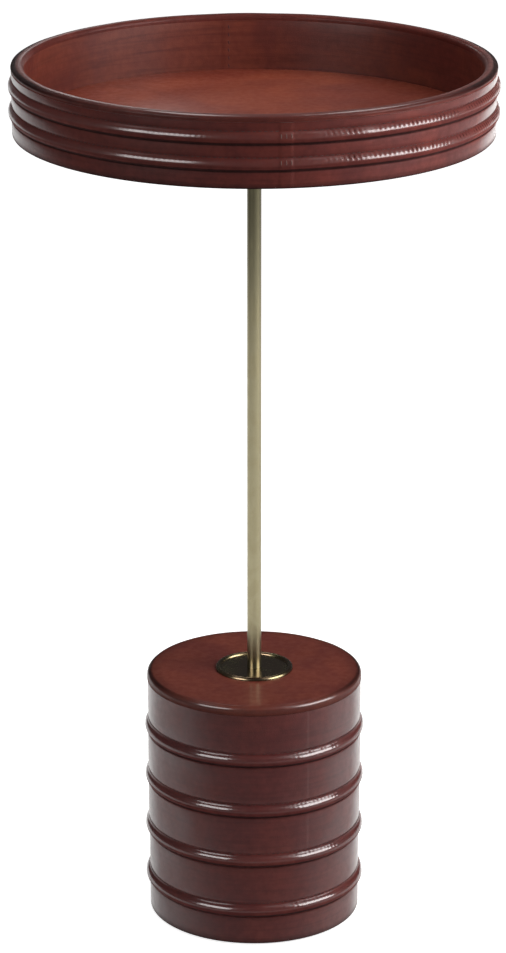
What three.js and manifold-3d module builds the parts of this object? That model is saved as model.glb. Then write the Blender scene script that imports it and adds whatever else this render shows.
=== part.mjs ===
import * as THREE from 'three';
import Module from 'manifold-3d';
import { mergeVertices } from 'three/addons/utils/BufferGeometryUtils.js';

// Drinks table covered in leather: a round tray with raised ribs, a slender brass stem
// and a heavy drum foot with the same ribs. Millimetres, +Z up, with the origin on the
// floor at the middle of the foot. Heights are measured from the floor.

// Overall
const overallHeight = 575;

// Drum foot
const footHeight = 168.2;
const footWallRadius = 70.2;
const footHide = 1.6;
const footRibCount = 4;
const footRibPitch = 35.2;
const footLowestRib = 24.4;
const footRibProud = 2;
const footRibArch = 4.4;
const footLipProud = 0.4;
const footLipHeight = 6.5;
const footShoulder = 3.6;
const footEdgeReveal = 1;
const footEdgeChamfer = 0.8;
const boardChamfer = 2;
const topBoardThickness = 15;
const bottomBoardThickness = 16;
const coreWall = 9;
const ballastThickness = 28;
const ballastEase = 3.4;
const padThickness = 2;
const padInset = 4;
const nutPocketDepth = 9;
const nutPocketEase = 3;

// Ribs, on the foot and on the tray
const cordEase = 0.3;
const ribFillet = 1.2;

// Stem and what holds it
const stemDiameter = 9.2;
const rodDiameter = 6;
const boreEase = 0.3;
const flangeRadius = 25.5;
const flangeRimWidth = 3.8;
const flangeRimHeight = 2.2;
const flangeFloor = 0.8;
const washerRadius = 9;
const washerThickness = 1.5;
const nutAcrossFlats = 10;
const nutHeight = 5;
const rodTail = 1.5;
const socketLength = 33.5;
const socketWall = 1.3;
const socketSeat = 23.5;
const rodThread = 9;
const spigotWall = 1.2;

// Tray
const trayHeight = 44.5;
const trayDepth = 37;
const trayWallRadius = 152.2;
const trayHide = 1.2;
const floorHideEase = 0.5;
const hoopThickness = 5.4;
const rimOverhang = 0.3;
const rimHeight = 4.2;
const trayRibCount = 2;
const trayRibPitch = 16.1;
const trayTopRibDrop = 13.7;
const trayRibProud = 2.1;
const trayRibArch = 4.4;
const trayEdgeChamfer = 1;
const plateRadius = 35;
const plateThickness = 3;
const screwCount = 4;
const screwCircleRadius = 26;
const screwShankDiameter = 3.5;
const screwHeadDiameter = 6.4;
const screwHeadHeight = 2;
const screwBite = 4;

// Fineness of the round forms
const footSides = 32;
const traySides = 40;
const stemSides = 24;
const screwSides = 12;
const cordSteps = 4;
const archSteps = 4;
const tunnelSteps = 3;
const roundSteps = 3;

// Radii worked out from the sizes above
const footCoreRadius = footWallRadius - footHide;
const footLipRadius = footWallRadius + footLipProud;
const coreInnerRadius = footCoreRadius - coreWall;
const rodRadius = rodDiameter / 2;
const rodHoleRadius = rodRadius + boreEase;
const stemRadius = stemDiameter / 2;
const socketBoreRadius = stemRadius + boreEase;
const socketRadius = socketBoreRadius + socketWall;
const spigotRadius = rodHoleRadius + spigotWall;
const hoopOuterRadius = trayWallRadius - trayHide;
const hoopInnerRadius = hoopOuterRadius - hoopThickness;
const trayInnerRadius = hoopInnerRadius - trayHide;
const rimRadius = trayWallRadius + rimOverhang;

// Heights worked out from the sizes above
const boardBottom = padThickness;
const boardTop = boardBottom + bottomBoardThickness;
const pocketCeiling = boardBottom + nutPocketDepth;
const nutTop = pocketCeiling - washerThickness;
const nutBottom = nutTop - nutHeight;
const rodBottom = nutBottom - rodTail;
const topBoardTop = footHeight - footHide;
const topBoardBottom = topBoardTop - topBoardThickness;
const lipBottom = footHeight - footLipHeight;
const stemBottom = footHeight + flangeFloor;
const trayBottom = overallHeight - trayHeight;
const trayBoardBottom = trayBottom + trayHide;
const trayFloor = overallHeight - trayDepth;
const trayBoardTop = trayFloor - trayHide;
const rimBottom = overallHeight - rimHeight;
const plateBottom = trayBottom - plateThickness;
const socketBottom = plateBottom - socketLength;
const stemTop = socketBottom + socketSeat;
const rodTop = stemTop + rodThread;

const wasm = await Module();
wasm.setup();

// Leather from warm red-brown to nearly black, brass from bright to patinated
const leatherSide = { color: 0x50282a, roughness: 0.35, metalness: 0 };
const leatherTop = { color: 0x6b3733, roughness: 0.38, metalness: 0 };
const leatherFloor = { color: 0x854030, roughness: 0.36, metalness: 0 };
const leatherEdge = { color: 0x241010, roughness: 0.4, metalness: 0 };
const leatherHidden = { color: 0x3c2018, roughness: 0.8, metalness: 0 };
const brass = { color: 0x9c9064, roughness: 0.28, metalness: 1 };
const flangeBrass = { color: 0x3c3826, roughness: 0.25, metalness: 1 };
const steel = { color: 0x8a8c8e, roughness: 0.4, metalness: 1 };
const castIron = { color: 0x3a3a3c, roughness: 0.7, metalness: 0.8 };
const plywood = { color: 0xb08a5a, roughness: 0.75, metalness: 0 };
const fibreboard = { color: 0x8a6e4c, roughness: 0.9, metalness: 0 };
const cotton = { color: 0xcfc4a8, roughness: 0.95, metalness: 0 };
const felt = { color: 0x1c1a18, roughness: 1, metalness: 0 };

// A solid of revolution. The outline goes anticlockwise round the section, as pairs of
// radius and height, and either starts and ends on the axis or closes on itself.
function turned(outline, sides) {
  const points = outline.map(([radius, height]) => new THREE.Vector2(radius, height));
  const geometry = new THREE.LatheGeometry(points, sides);
  geometry.rotateX(Math.PI / 2);
  return geometry;
}

// Outline of a plain disc and of a plain ring
function discOutline(radius, low, high) {
  return [[0, low], [radius, low], [radius, high], [0, high]];
}

function ringOutline(inner, outer, low, high) {
  return [[inner, low], [outer, low], [outer, high], [inner, high], [inner, low]];
}

// Points on an arc, or on a quarter of an ellipse where the two half axes differ
function arcPoints(radius, height, halfWidth, halfHeight, from, to, steps) {
  const points = [];
  for (let step = 0; step <= steps; step += 1) {
    const angle = from + ((to - from) * step) / steps;
    points.push([radius + halfWidth * Math.cos(angle), height + halfHeight * Math.sin(angle)]);
  }
  return points;
}

// The outside of one rib, from below to above: leather drawn over a half-round cord, with a
// small crease where it goes back to the wall.
function ribOutside(wallRadius, archCentre, archRadius, height) {
  const creaseRadius = wallRadius + ribFillet;
  const reach = archRadius + ribFillet;
  const rise = Math.sqrt(reach * reach - (archCentre - creaseRadius) ** 2);
  const turn = Math.atan2(rise, creaseRadius - archCentre);
  return [
    [wallRadius, height - rise],
    ...arcPoints(archCentre, height, archRadius, archRadius, -turn, turn, archSteps),
    [wallRadius, height + rise],
  ];
}

// The part of a circle that stands out past the core, from above to below
function segmentPoints(coreRadius, archCentre, radius, height, steps) {
  const turn = Math.acos((coreRadius - archCentre) / radius);
  return arcPoints(archCentre, height, radius, radius, turn, -turn, steps);
}

// Side leather of the foot or of the tray, ribbed over its cords
function ribbedLeather(spec) {
  const { coreRadius, hide, ribProud, ribArch, low, high, chamfer, ribHeights, sides } = spec;
  const wallRadius = coreRadius + hide;
  const archCentre = wallRadius + ribProud - ribArch;
  const upward = ribHeights.flatMap((height) => (
    ribOutside(wallRadius, archCentre, ribArch, height)
  ));
  const downward = [...ribHeights].reverse().flatMap((height) => (
    segmentPoints(coreRadius, archCentre, ribArch - hide, height, tunnelSteps)
  ));
  const outline = [
    [coreRadius, low],
    [wallRadius - chamfer, low],
    [wallRadius, low + chamfer],
    ...upward,
    [wallRadius, high],
    [coreRadius, high],
    ...downward,
    [coreRadius, low],
  ];
  return turned(outline, sides);
}

// One ring of half-round cord at the height of its rib, with its flat side on the core
function cordRing(spec, height) {
  const { coreRadius, hide, ribProud, ribArch, sides } = spec;
  const archCentre = coreRadius + hide + ribProud - ribArch;
  const cordRadius = ribArch - hide - cordEase;
  const section = segmentPoints(coreRadius, archCentre, cordRadius, height, cordSteps).reverse();
  return turned([...section, section[0]], sides);
}

// Closed solid for cutting, with its shared vertices merged and its slivers at the axis left out
function toSolid(geometry) {
  const bare = geometry.clone();
  bare.deleteAttribute('normal');
  bare.deleteAttribute('uv');
  const merged = mergeVertices(bare);
  const faces = [];
  const index = merged.index.array;
  for (let corner = 0; corner < index.length; corner += 3) {
    const [a, b, c] = index.slice(corner, corner + 3);
    if (a !== b && b !== c && c !== a) faces.push(a, b, c);
  }
  const vertProperties = new Float32Array(merged.attributes.position.array);
  const triVerts = new Uint32Array(faces);
  return new wasm.Manifold(new wasm.Mesh({ numProp: 3, vertProperties, triVerts }));
}

function toGeometry(solid) {
  const { vertProperties, triVerts } = solid.getMesh();
  const geometry = new THREE.BufferGeometry();
  geometry.setAttribute('position', new THREE.BufferAttribute(new Float32Array(vertProperties), 3));
  geometry.setIndex(new THREE.BufferAttribute(new Uint32Array(triVerts), 1));
  const flat = geometry.toNonIndexed();
  flat.computeVertexNormals();
  return flat;
}

// Where the screws stand, on a circle round the stem
function screwPlaces() {
  return Array.from({ length: screwCount }, (_, index) => {
    const angle = ((index + 0.5) / screwCount) * Math.PI * 2;
    return [screwCircleRadius * Math.cos(angle), screwCircleRadius * Math.sin(angle)];
  });
}

// The same piece with a hole for each screw between two heights
function drilled(geometry, low, high) {
  const holeRadius = screwShankDiameter / 2 + boreEase;
  return toGeometry(screwPlaces().reduce((solid, [x, y]) => {
    const hole = turned(discOutline(holeRadius, low, high), screwSides);
    hole.translate(x, y, 0);
    return solid.subtract(toSolid(hole));
  }, toSolid(geometry)));
}

const table = new THREE.Group();
const foot = new THREE.Group();
const stem = new THREE.Group();
const tray = new THREE.Group();
table.add(foot, stem, tray);

function add(group, name, geometry, finish) {
  const mesh = new THREE.Mesh(geometry, new THREE.MeshStandardMaterial(finish));
  mesh.name = name;
  group.add(mesh);
  return mesh;
}

// Foot, from the floor up
function buildFoot() {
  const ribHeights = Array.from({ length: footRibCount }, (_, index) => (
    footLowestRib + index * footRibPitch
  ));
  const pocketRadius = washerRadius + nutPocketEase;

  add(foot, 'foot_pad', turned(
    discOutline(footCoreRadius - padInset, 0, padThickness),
    footSides,
  ), felt);

  // The lower board, with a pocket underneath for the nut and washer
  add(foot, 'foot_bottom_board', turned([
    [pocketRadius, boardBottom],
    [footCoreRadius, boardBottom],
    [footCoreRadius, boardTop],
    [rodHoleRadius, boardTop],
    [rodHoleRadius, pocketCeiling],
    [pocketRadius, pocketCeiling],
    [pocketRadius, boardBottom],
  ], footSides), fibreboard);

  add(foot, 'foot_core_tube', turned(
    ringOutline(coreInnerRadius, footCoreRadius, boardTop, topBoardBottom),
    footSides,
  ), fibreboard);

  add(foot, 'foot_ballast', turned(
    ringOutline(rodHoleRadius, coreInnerRadius - ballastEase, boardTop, boardTop + ballastThickness),
    footSides,
  ), castIron);

  add(foot, 'foot_top_board', turned([
    [rodHoleRadius, topBoardBottom],
    [footCoreRadius, topBoardBottom],
    [footCoreRadius, topBoardTop - boardChamfer],
    [footCoreRadius - boardChamfer, topBoardTop],
    [rodHoleRadius, topBoardTop],
    [rodHoleRadius, topBoardBottom],
  ], footSides), fibreboard);

  const side = {
    coreRadius: footCoreRadius,
    hide: footHide,
    ribProud: footRibProud,
    ribArch: footRibArch,
    low: footEdgeReveal,
    high: lipBottom,
    chamfer: footEdgeChamfer,
    ribHeights,
    sides: footSides,
  };

  ribHeights.forEach((height, index) => {
    add(foot, `foot_rib_cord_${index + 1}`, cordRing(side, height), cotton);
  });

  add(foot, 'foot_side_leather', ribbedLeather(side), leatherSide);

  // The top leather, with its rolled edge over the top of the side leather
  const shoulderHeight = footHeight - footShoulder;
  add(foot, 'foot_top_leather', turned([
    [rodHoleRadius, topBoardTop],
    [footCoreRadius - boardChamfer, topBoardTop],
    [footCoreRadius, topBoardTop - boardChamfer],
    [footCoreRadius, lipBottom],
    ...arcPoints(footWallRadius, shoulderHeight, footLipProud, shoulderHeight - lipBottom,
      -Math.PI / 2, 0, roundSteps),
    ...arcPoints(footLipRadius - footShoulder, shoulderHeight, footShoulder, footShoulder,
      0, Math.PI / 2, archSteps).slice(1),
    [rodHoleRadius, footHeight],
    [rodHoleRadius, topBoardTop],
  ], footSides), leatherTop);
}

// Stem: a brass tube drawn tight between the flange and the socket by a steel rod inside it
function buildStem() {
  const rimMiddle = flangeRadius - flangeRimWidth / 2;
  add(stem, 'stem_flange', turned([
    [rodHoleRadius, footHeight],
    ...arcPoints(rimMiddle, footHeight, flangeRimWidth / 2, flangeRimHeight,
      0, Math.PI, roundSteps * 2).slice(0, -1),
    [rimMiddle - flangeRimWidth / 2, stemBottom],
    [rodHoleRadius, stemBottom],
    [rodHoleRadius, footHeight],
  ], footSides), flangeBrass);

  add(stem, 'stem_tube', turned(
    ringOutline(rodHoleRadius, stemRadius, stemBottom, stemTop),
    stemSides,
  ), brass);

  add(stem, 'stem_tie_rod', turned(discOutline(rodRadius, rodBottom, rodTop), stemSides), steel);

  add(stem, 'tie_rod_washer', turned(
    ringOutline(rodHoleRadius, washerRadius, nutTop, pocketCeiling),
    stemSides,
  ), steel);

  // Hexagon nut
  const cornerRadius = nutAcrossFlats / Math.sqrt(3);
  const hexagon = new THREE.Shape();
  for (let corner = 0; corner < 6; corner += 1) {
    const angle = (corner / 6) * Math.PI * 2;
    const [x, y] = [cornerRadius * Math.cos(angle), cornerRadius * Math.sin(angle)];
    if (corner === 0) hexagon.moveTo(x, y);
    else hexagon.lineTo(x, y);
  }
  hexagon.closePath();
  const hole = new THREE.Path();
  hole.absarc(0, 0, rodHoleRadius, 0, Math.PI * 2, true);
  hexagon.holes.push(hole);
  const nut = new THREE.ExtrudeGeometry(hexagon, {
    depth: nutHeight,
    bevelEnabled: false,
    curveSegments: stemSides,
  });
  add(stem, 'tie_rod_nut', nut, steel).position.z = nutBottom;

  // Socket under the tray: the tube goes up into it, and the rod screws into its head
  add(stem, 'stem_top_socket', turned([
    [socketBoreRadius, socketBottom],
    [socketRadius, socketBottom],
    [socketRadius, plateBottom],
    [spigotRadius, plateBottom],
    [spigotRadius, trayBottom],
    [0, trayBottom],
    [0, rodTop + boreEase],
    [rodHoleRadius, rodTop + boreEase],
    [rodHoleRadius, stemTop],
    [socketBoreRadius, stemTop],
    [socketBoreRadius, socketBottom],
  ], stemSides), brass);
}

// Tray, from the mounting plate up
function buildTray() {
  const ribHeights = Array.from({ length: trayRibCount }, (_, index) => (
    overallHeight - trayTopRibDrop - (trayRibCount - 1 - index) * trayRibPitch
  ));

  add(tray, 'tray_mount_plate', drilled(
    turned(ringOutline(spigotRadius + boreEase, plateRadius, plateBottom, trayBottom), stemSides),
    plateBottom - plateThickness,
    trayBottom + plateThickness,
  ), steel);

  // Round-headed wood screws, pointing up through the plate into the floor board
  const shankRadius = screwShankDiameter / 2;
  const headRadius = screwHeadDiameter / 2;
  const screwTop = plateThickness + trayHide + screwBite;
  screwPlaces().forEach(([x, y], index) => {
    const screw = turned([
      ...arcPoints(0, 0, headRadius, screwHeadHeight, -Math.PI / 2, 0, roundSteps),
      [shankRadius, 0],
      [shankRadius, screwTop - screwBite / 2],
      [0, screwTop],
    ], screwSides);
    add(tray, `mount_screw_${index + 1}`, screw, steel).position.set(x, y, plateBottom);
  });

  add(tray, 'tray_underside_leather', drilled(
    turned(discOutline(hoopOuterRadius, trayBottom, trayBoardBottom), traySides),
    trayBottom - trayHide,
    trayBoardBottom + trayHide,
  ), leatherSide);

  add(tray, 'tray_floor_board', drilled(
    turned(discOutline(hoopInnerRadius, trayBoardBottom, trayBoardTop), traySides),
    trayBoardBottom - trayHide,
    trayBoardBottom + screwBite + boreEase,
  ), plywood);

  add(tray, 'tray_hoop', turned(
    ringOutline(hoopInnerRadius, hoopOuterRadius, trayBoardBottom, rimBottom),
    traySides,
  ), plywood);

  const wall = {
    coreRadius: hoopOuterRadius,
    hide: trayHide,
    ribProud: trayRibProud,
    ribArch: trayRibArch,
    low: trayBottom,
    high: rimBottom,
    chamfer: trayEdgeChamfer,
    ribHeights,
    sides: traySides,
  };

  ribHeights.forEach((height, index) => {
    add(tray, `tray_rib_cord_${index + 1}`, cordRing(wall, height), cotton);
  });

  add(tray, 'tray_outer_leather', ribbedLeather(wall), leatherSide);

  // The floor leather lies inside the lining of the wall, which goes down to the board
  add(tray, 'tray_floor_leather', turned(
    discOutline(trayInnerRadius - floorHideEase, trayBoardTop, trayFloor),
    traySides,
  ), leatherFloor);

  add(tray, 'tray_inner_leather', turned(
    ringOutline(trayInnerRadius, hoopInnerRadius, trayBoardTop, rimBottom),
    traySides,
  ), leatherTop);

  // The rolled rim, nearly flush with the wall outside and with the lining inside
  const bead = rimHeight / 2;
  add(tray, 'tray_rim_binding', turned([
    [trayInnerRadius, rimBottom],
    ...arcPoints(rimRadius - bead, rimBottom + bead, bead, bead, -Math.PI / 2, Math.PI / 2, roundSteps * 2),
    ...arcPoints(trayInnerRadius + bead, overallHeight - bead, bead, bead, Math.PI / 2, Math.PI, roundSteps),
    [trayInnerRadius, rimBottom],
  ], traySides), leatherEdge);
}

buildFoot();
buildStem();
buildTray();

export default table;
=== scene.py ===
import math

import bpy
from mathutils import Matrix, Vector, noise


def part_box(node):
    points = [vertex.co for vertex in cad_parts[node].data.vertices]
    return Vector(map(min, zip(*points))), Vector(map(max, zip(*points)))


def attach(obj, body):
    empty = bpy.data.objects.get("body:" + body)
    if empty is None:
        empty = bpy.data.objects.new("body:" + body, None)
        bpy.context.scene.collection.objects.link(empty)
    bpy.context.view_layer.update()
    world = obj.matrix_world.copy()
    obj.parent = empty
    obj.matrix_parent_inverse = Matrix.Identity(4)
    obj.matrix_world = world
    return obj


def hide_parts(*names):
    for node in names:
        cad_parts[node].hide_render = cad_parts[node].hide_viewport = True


# Leather drinks table: fine skins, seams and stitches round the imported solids.
# Metres, +Z up, origin on the floor at the middle of the foot, and -Y is the front.

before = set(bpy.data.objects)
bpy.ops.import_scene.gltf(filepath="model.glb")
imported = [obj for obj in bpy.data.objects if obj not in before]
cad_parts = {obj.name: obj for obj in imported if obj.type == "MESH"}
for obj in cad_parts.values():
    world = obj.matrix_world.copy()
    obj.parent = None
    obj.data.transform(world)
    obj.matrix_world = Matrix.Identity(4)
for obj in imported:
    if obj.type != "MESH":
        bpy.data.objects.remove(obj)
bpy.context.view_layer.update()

mm = 0.001
fullTurn = 2 * math.pi
mergeDistance = 0.002 * mm
axisUp = (0, 0, 1)
middle = (0, 0, 0)


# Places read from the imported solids: outer radius, lowest and highest point of a node
def reach(node):
    low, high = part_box(node)
    return high.x, low.z, high.z


def middleHeight(node):
    low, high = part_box(node)
    return (low.z + high.z) / 2


footCore = reach("foot_core_tube")[0]
footCrest, footSkinLow, footSkinHigh = reach("foot_side_leather")
footLip, topSkinLow, footTop = reach("foot_top_leather")
footRibHeights = [middleHeight(f"foot_rib_cord_{index}") for index in range(1, 5)]
hoopOuter = reach("tray_hoop")[0]
trayCrest, traySkinLow, traySkinHigh = reach("tray_outer_leather")
liningOuter, liningLow, liningHigh = reach("tray_inner_leather")
floorRadius, floorLow, floorTop = reach("tray_floor_leather")
rimRadius, rimLow, rimTop = reach("tray_rim_binding")
undersideRadius, undersideLow, undersideHigh = reach("tray_underside_leather")
trayRibHeights = [middleHeight(f"tray_rib_cord_{index}") for index in range(1, 3)]
flangeRadius = reach("stem_flange")[0]
stemRadius, stemLow, stemHigh = reach("stem_tube")
socketRadius, socketLow, socketHigh = reach("stem_top_socket")
plateLow = reach("tray_mount_plate")[1]
padRadius, padLow, padHigh = reach("foot_pad")
rodRadius = reach("stem_tie_rod")[0]


# Colours are written as the sRGB numbers that a colour picker shows
def tone(red, green, blue):
    channels = [value / 255 for value in (red, green, blue)]
    bent = [c / 12.92 if c <= 0.04045 else ((c + 0.055) / 1.055) ** 2.4 for c in channels]
    return (*bent, 1.0)


def shade(share, colour):
    return (*[share * value for value in colour[:3]], 1.0)


# Small helpers for shader trees
def addNode(tree, kind, **settings):
    node = tree.nodes.new(kind)
    for name, value in settings.items():
        setattr(node, name, value)
    return node


def plug(tree, source, socket):
    if isinstance(source, (int, float, tuple)):
        socket.default_value = source
    else:
        tree.links.new(source, socket)


def maths(tree, operation, first, second=0.0, third=None, clamp=False):
    node = addNode(tree, "ShaderNodeMath", operation=operation, use_clamp=clamp)
    plug(tree, first, node.inputs[0])
    plug(tree, second, node.inputs[1])
    if third is not None:
        plug(tree, third, node.inputs[2])
    return node.outputs[0]


def mixColours(tree, share, first, second, kind="MIX"):
    node = addNode(tree, "ShaderNodeMix", data_type="RGBA", blend_type=kind)
    plug(tree, share, node.inputs["Factor"])
    plug(tree, first, node.inputs[6])
    plug(tree, second, node.inputs[7])
    return node.outputs[2]


def ranged(tree, value, low, high, newLow=0.0, newHigh=1.0):
    node = addNode(tree, "ShaderNodeMapRange", clamp=True, interpolation_type="SMOOTHSTEP")
    plug(tree, value, node.inputs["Value"])
    ends = {"From Min": low, "From Max": high, "To Min": newLow, "To Max": newHigh}
    for name, number in ends.items():
        plug(tree, number, node.inputs[name])
    return node.outputs[0]


def stretched(tree, vector, scale):
    node = addNode(tree, "ShaderNodeMapping")
    plug(tree, vector, node.inputs["Vector"])
    node.inputs["Scale"].default_value = scale
    return node.outputs[0]


def noiseTexture(tree, vector, scale, detail=2.0, roughness=0.5, distortion=0.0):
    node = addNode(tree, "ShaderNodeTexNoise")
    plug(tree, vector, node.inputs["Vector"])
    plug(tree, scale, node.inputs["Scale"])
    node.inputs["Detail"].default_value = detail
    node.inputs["Roughness"].default_value = roughness
    node.inputs["Distortion"].default_value = distortion
    return node.outputs["Fac"]


def cells(tree, vector, scale, feature="F1"):
    node = addNode(tree, "ShaderNodeTexVoronoi", feature=feature)
    plug(tree, vector, node.inputs["Vector"])
    plug(tree, scale, node.inputs["Scale"])
    return node.outputs["Distance"]


# A group that reads a place and some numbers, and puts out masks and heights
def newGroup(name, outputs, **numbers):
    group = bpy.data.node_groups.new(name, "ShaderNodeTree")
    group.interface.new_socket(name="Place", in_out="INPUT", socket_type="NodeSocketVector")
    for label, value in numbers.items():
        socket = group.interface.new_socket(name=label, in_out="INPUT", socket_type="NodeSocketFloat")
        socket.default_value = value
    for label in outputs:
        group.interface.new_socket(name=label, in_out="OUTPUT", socket_type="NodeSocketFloat")
    entry = addNode(group, "NodeGroupInput")
    leaving = addNode(group, "NodeGroupOutput")
    return group, entry.outputs, leaving.inputs


def useGroup(tree, group, **values):
    node = addNode(tree, "ShaderNodeGroup", node_tree=group)
    for label, value in values.items():
        plug(tree, value, node.inputs[label])
    return node.outputs


# Grain of a smooth calf hide: flat pebbles and fine pores
def makeHideGrain():
    group, given, out = newGroup("hideGrain", ("Height", "Pores"), Pebbles=900.0)
    bend = noiseTexture(group, given["Place"], 260.0, 2.0)
    shifted = addNode(group, "ShaderNodeVectorMath", operation="MULTIPLY_ADD")
    plug(group, bend, shifted.inputs[0])
    shifted.inputs[1].default_value = (1.1 * mm, 0.9 * mm, 1.2 * mm)
    plug(group, given["Place"], shifted.inputs[2])
    borders = cells(group, shifted.outputs[0], given["Pebbles"], "DISTANCE_TO_EDGE")
    pebble = ranged(group, borders, 0.0, 0.35)
    fine = noiseTexture(group, given["Place"], 2600.0, 3.0, 0.6)
    pores = ranged(group, cells(group, given["Place"], 620.0), 0.05, 0.16, 1.0, 0.0)
    height = maths(group, "MULTIPLY_ADD", fine, 0.35, pebble)
    plug(group, maths(group, "SUBTRACT", height, maths(group, "MULTIPLY", pores, 0.6)), out["Height"])
    plug(group, pores, out["Pores"])
    return group


# Hand-rubbed dye: broad clouds, small mottling and streaks that run round the piece
def makeRubbedDye():
    group, given, out = newGroup("rubbedDye", ("Clouds", "Mottle", "Streaks"), Clouds=26.0, Streaks=1.0)
    cloud = noiseTexture(group, given["Place"], given["Clouds"], 3.0, 0.55, 0.6)
    plug(group, ranged(group, cloud, 0.34, 0.66), out["Clouds"])
    mottle = noiseTexture(group, given["Place"], 210.0, 4.0, 0.6)
    plug(group, ranged(group, mottle, 0.3, 0.7), out["Mottle"])
    along = stretched(group, given["Place"], (14.0, 14.0, 330.0))
    streak = ranged(group, noiseTexture(group, along, 1.0, 3.0, 0.6, 0.4), 0.42, 0.72)
    plug(group, maths(group, "MULTIPLY", streak, given["Streaks"]), out["Streaks"])
    return group


# Marks of metal: lines left by the polishing belt, patches of tarnish and dark specks
def makeMetalMarks():
    group, given, out = newGroup("metalMarks", ("Lines", "Tarnish", "Specks"), Lines=1.0)
    along = stretched(group, given["Place"], (1900.0, 1900.0, 45.0))
    lines = noiseTexture(group, along, 1.0, 2.0, 0.6)
    plug(group, maths(group, "MULTIPLY", lines, given["Lines"]), out["Lines"])
    tarnish = noiseTexture(group, given["Place"], 70.0, 4.0, 0.62, 0.8)
    plug(group, ranged(group, tarnish, 0.4, 0.68), out["Tarnish"])
    specks = noiseTexture(group, given["Place"], 900.0, 3.0, 0.7)
    plug(group, ranged(group, specks, 0.6, 0.74), out["Specks"])
    return group


# Short fibres lying every way, for felt, board and cord
def makeFibres():
    group, given, out = newGroup("fibres", ("Height", "Tone"), Fineness=900.0)
    threads = noiseTexture(group, given["Place"], given["Fineness"], 5.0, 0.75, 1.6)
    plug(group, threads, out["Height"])
    patches = noiseTexture(group, given["Place"], 60.0, 3.0, 0.6)
    strands = maths(group, "MULTIPLY", threads, 0.7)
    mixed = maths(group, "ADD", strands, maths(group, "MULTIPLY", patches, 0.3))
    plug(group, ranged(group, mixed, 0.35, 0.65), out["Tone"])
    return group


hideGrain = makeHideGrain()
rubbedDye = makeRubbedDye()
metalMarks = makeMetalMarks()
fibres = makeFibres()
print("shader groups made")


def newMaterial(name):
    material = bpy.data.materials.new(name)
    material.use_nodes = True
    tree = material.node_tree
    principled = tree.nodes["Principled BSDF"]
    place = addNode(tree, "ShaderNodeTexCoord").outputs["Object"]
    return material, tree, principled, place


def bumped(tree, principled, height, distance):
    bump = addNode(tree, "ShaderNodeBump")
    bump.inputs["Strength"].default_value = 1.0
    bump.inputs["Distance"].default_value = distance
    plug(tree, height, bump.inputs["Height"])
    plug(tree, bump.outputs["Normal"], principled.inputs["Normal"])


# Waxed calf leather. Crease, crest and the edge mark are attributes of the skins, 0 where a piece
# has none: crease and the edge mark carry painted shade, and crest a lighter painted highlight with
# more wax. "shine" is the strength of the wax where the hide is seen square on, and where it turns
# away, and "turning" says how far it has turned where that change starts and ends. The sheen key is
# a pale sheen of the wax at a flat angle, painted into the colour.
leathers = {
    "foot": {
        "base": tone(90, 38, 36), "deep": tone(56, 21, 22), "warm": tone(102, 47, 42),
        "crestLight": tone(108, 56, 52), "roughness": 0.5, "clouds": 26.0, "streaks": 0.5,
        "pebbles": 900.0, "bump": 0.03 * mm, "turning": (0.06, 0.42), "shine": (0.1, 0.64),
        "crest": 0.9, "shineRoughness": 0.15, "paintedSheen": 0.45,
    },
    "wall": {
        "base": tone(94, 41, 37), "deep": tone(58, 22, 21), "warm": tone(108, 48, 41),
        "crestLight": tone(112, 58, 52), "roughness": 0.5, "clouds": 26.0, "streaks": 0.5,
        "pebbles": 900.0, "bump": 0.03 * mm, "turning": (0.3, 0.75), "shine": (0.04, 0.7),
        "crest": 0.9, "shineRoughness": 0.18, "paintedSheen": 0.6,
    },
    "top": {
        "base": tone(108, 50, 42), "deep": tone(74, 30, 26), "warm": tone(122, 60, 46),
        "crestLight": tone(124, 72, 62), "roughness": 0.48, "clouds": 22.0, "streaks": 0.3,
        "pebbles": 850.0, "bump": 0.03 * mm, "turning": (0.06, 0.4), "shine": (0.1, 0.2),
        "crest": 0.8, "shineRoughness": 0.18, "paintedSheen": 0.0,
    },
    "lining": {
        "base": tone(102, 45, 37), "deep": tone(65, 26, 21), "warm": tone(118, 56, 42),
        "crestLight": tone(120, 66, 56), "roughness": 0.5, "clouds": 20.0, "streaks": 0.8,
        "pebbles": 900.0, "bump": 0.03 * mm, "turning": (0.06, 0.4), "shine": (0.28, 0.3),
        "crest": 0.8, "shineRoughness": 0.36, "paintedSheen": 0.0,
    },
    "floor": {
        "base": tone(136, 63, 47), "deep": tone(104, 45, 36), "warm": tone(152, 76, 54),
        "crestLight": tone(158, 96, 82), "roughness": 0.46, "clouds": 18.0, "streaks": 1.0,
        "pebbles": 850.0, "bump": 0.025 * mm, "turning": (0.06, 0.4), "shine": (0.2, 0.42),
        "crest": 0.8, "shineRoughness": 0.26, "paintedSheen": 0.0,
    },
    "edge": {
        "base": tone(96, 42, 36), "deep": tone(56, 22, 20), "warm": tone(108, 50, 42),
        "crestLight": tone(116, 62, 56), "roughness": 0.5, "clouds": 34.0, "streaks": 0.5,
        "pebbles": 1100.0, "bump": 0.025 * mm, "turning": (0.3, 0.75), "shine": (0.03, 0.2),
        "crest": 0.9, "shineRoughness": 0.16, "paintedSheen": 0.1,
    },
}


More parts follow.
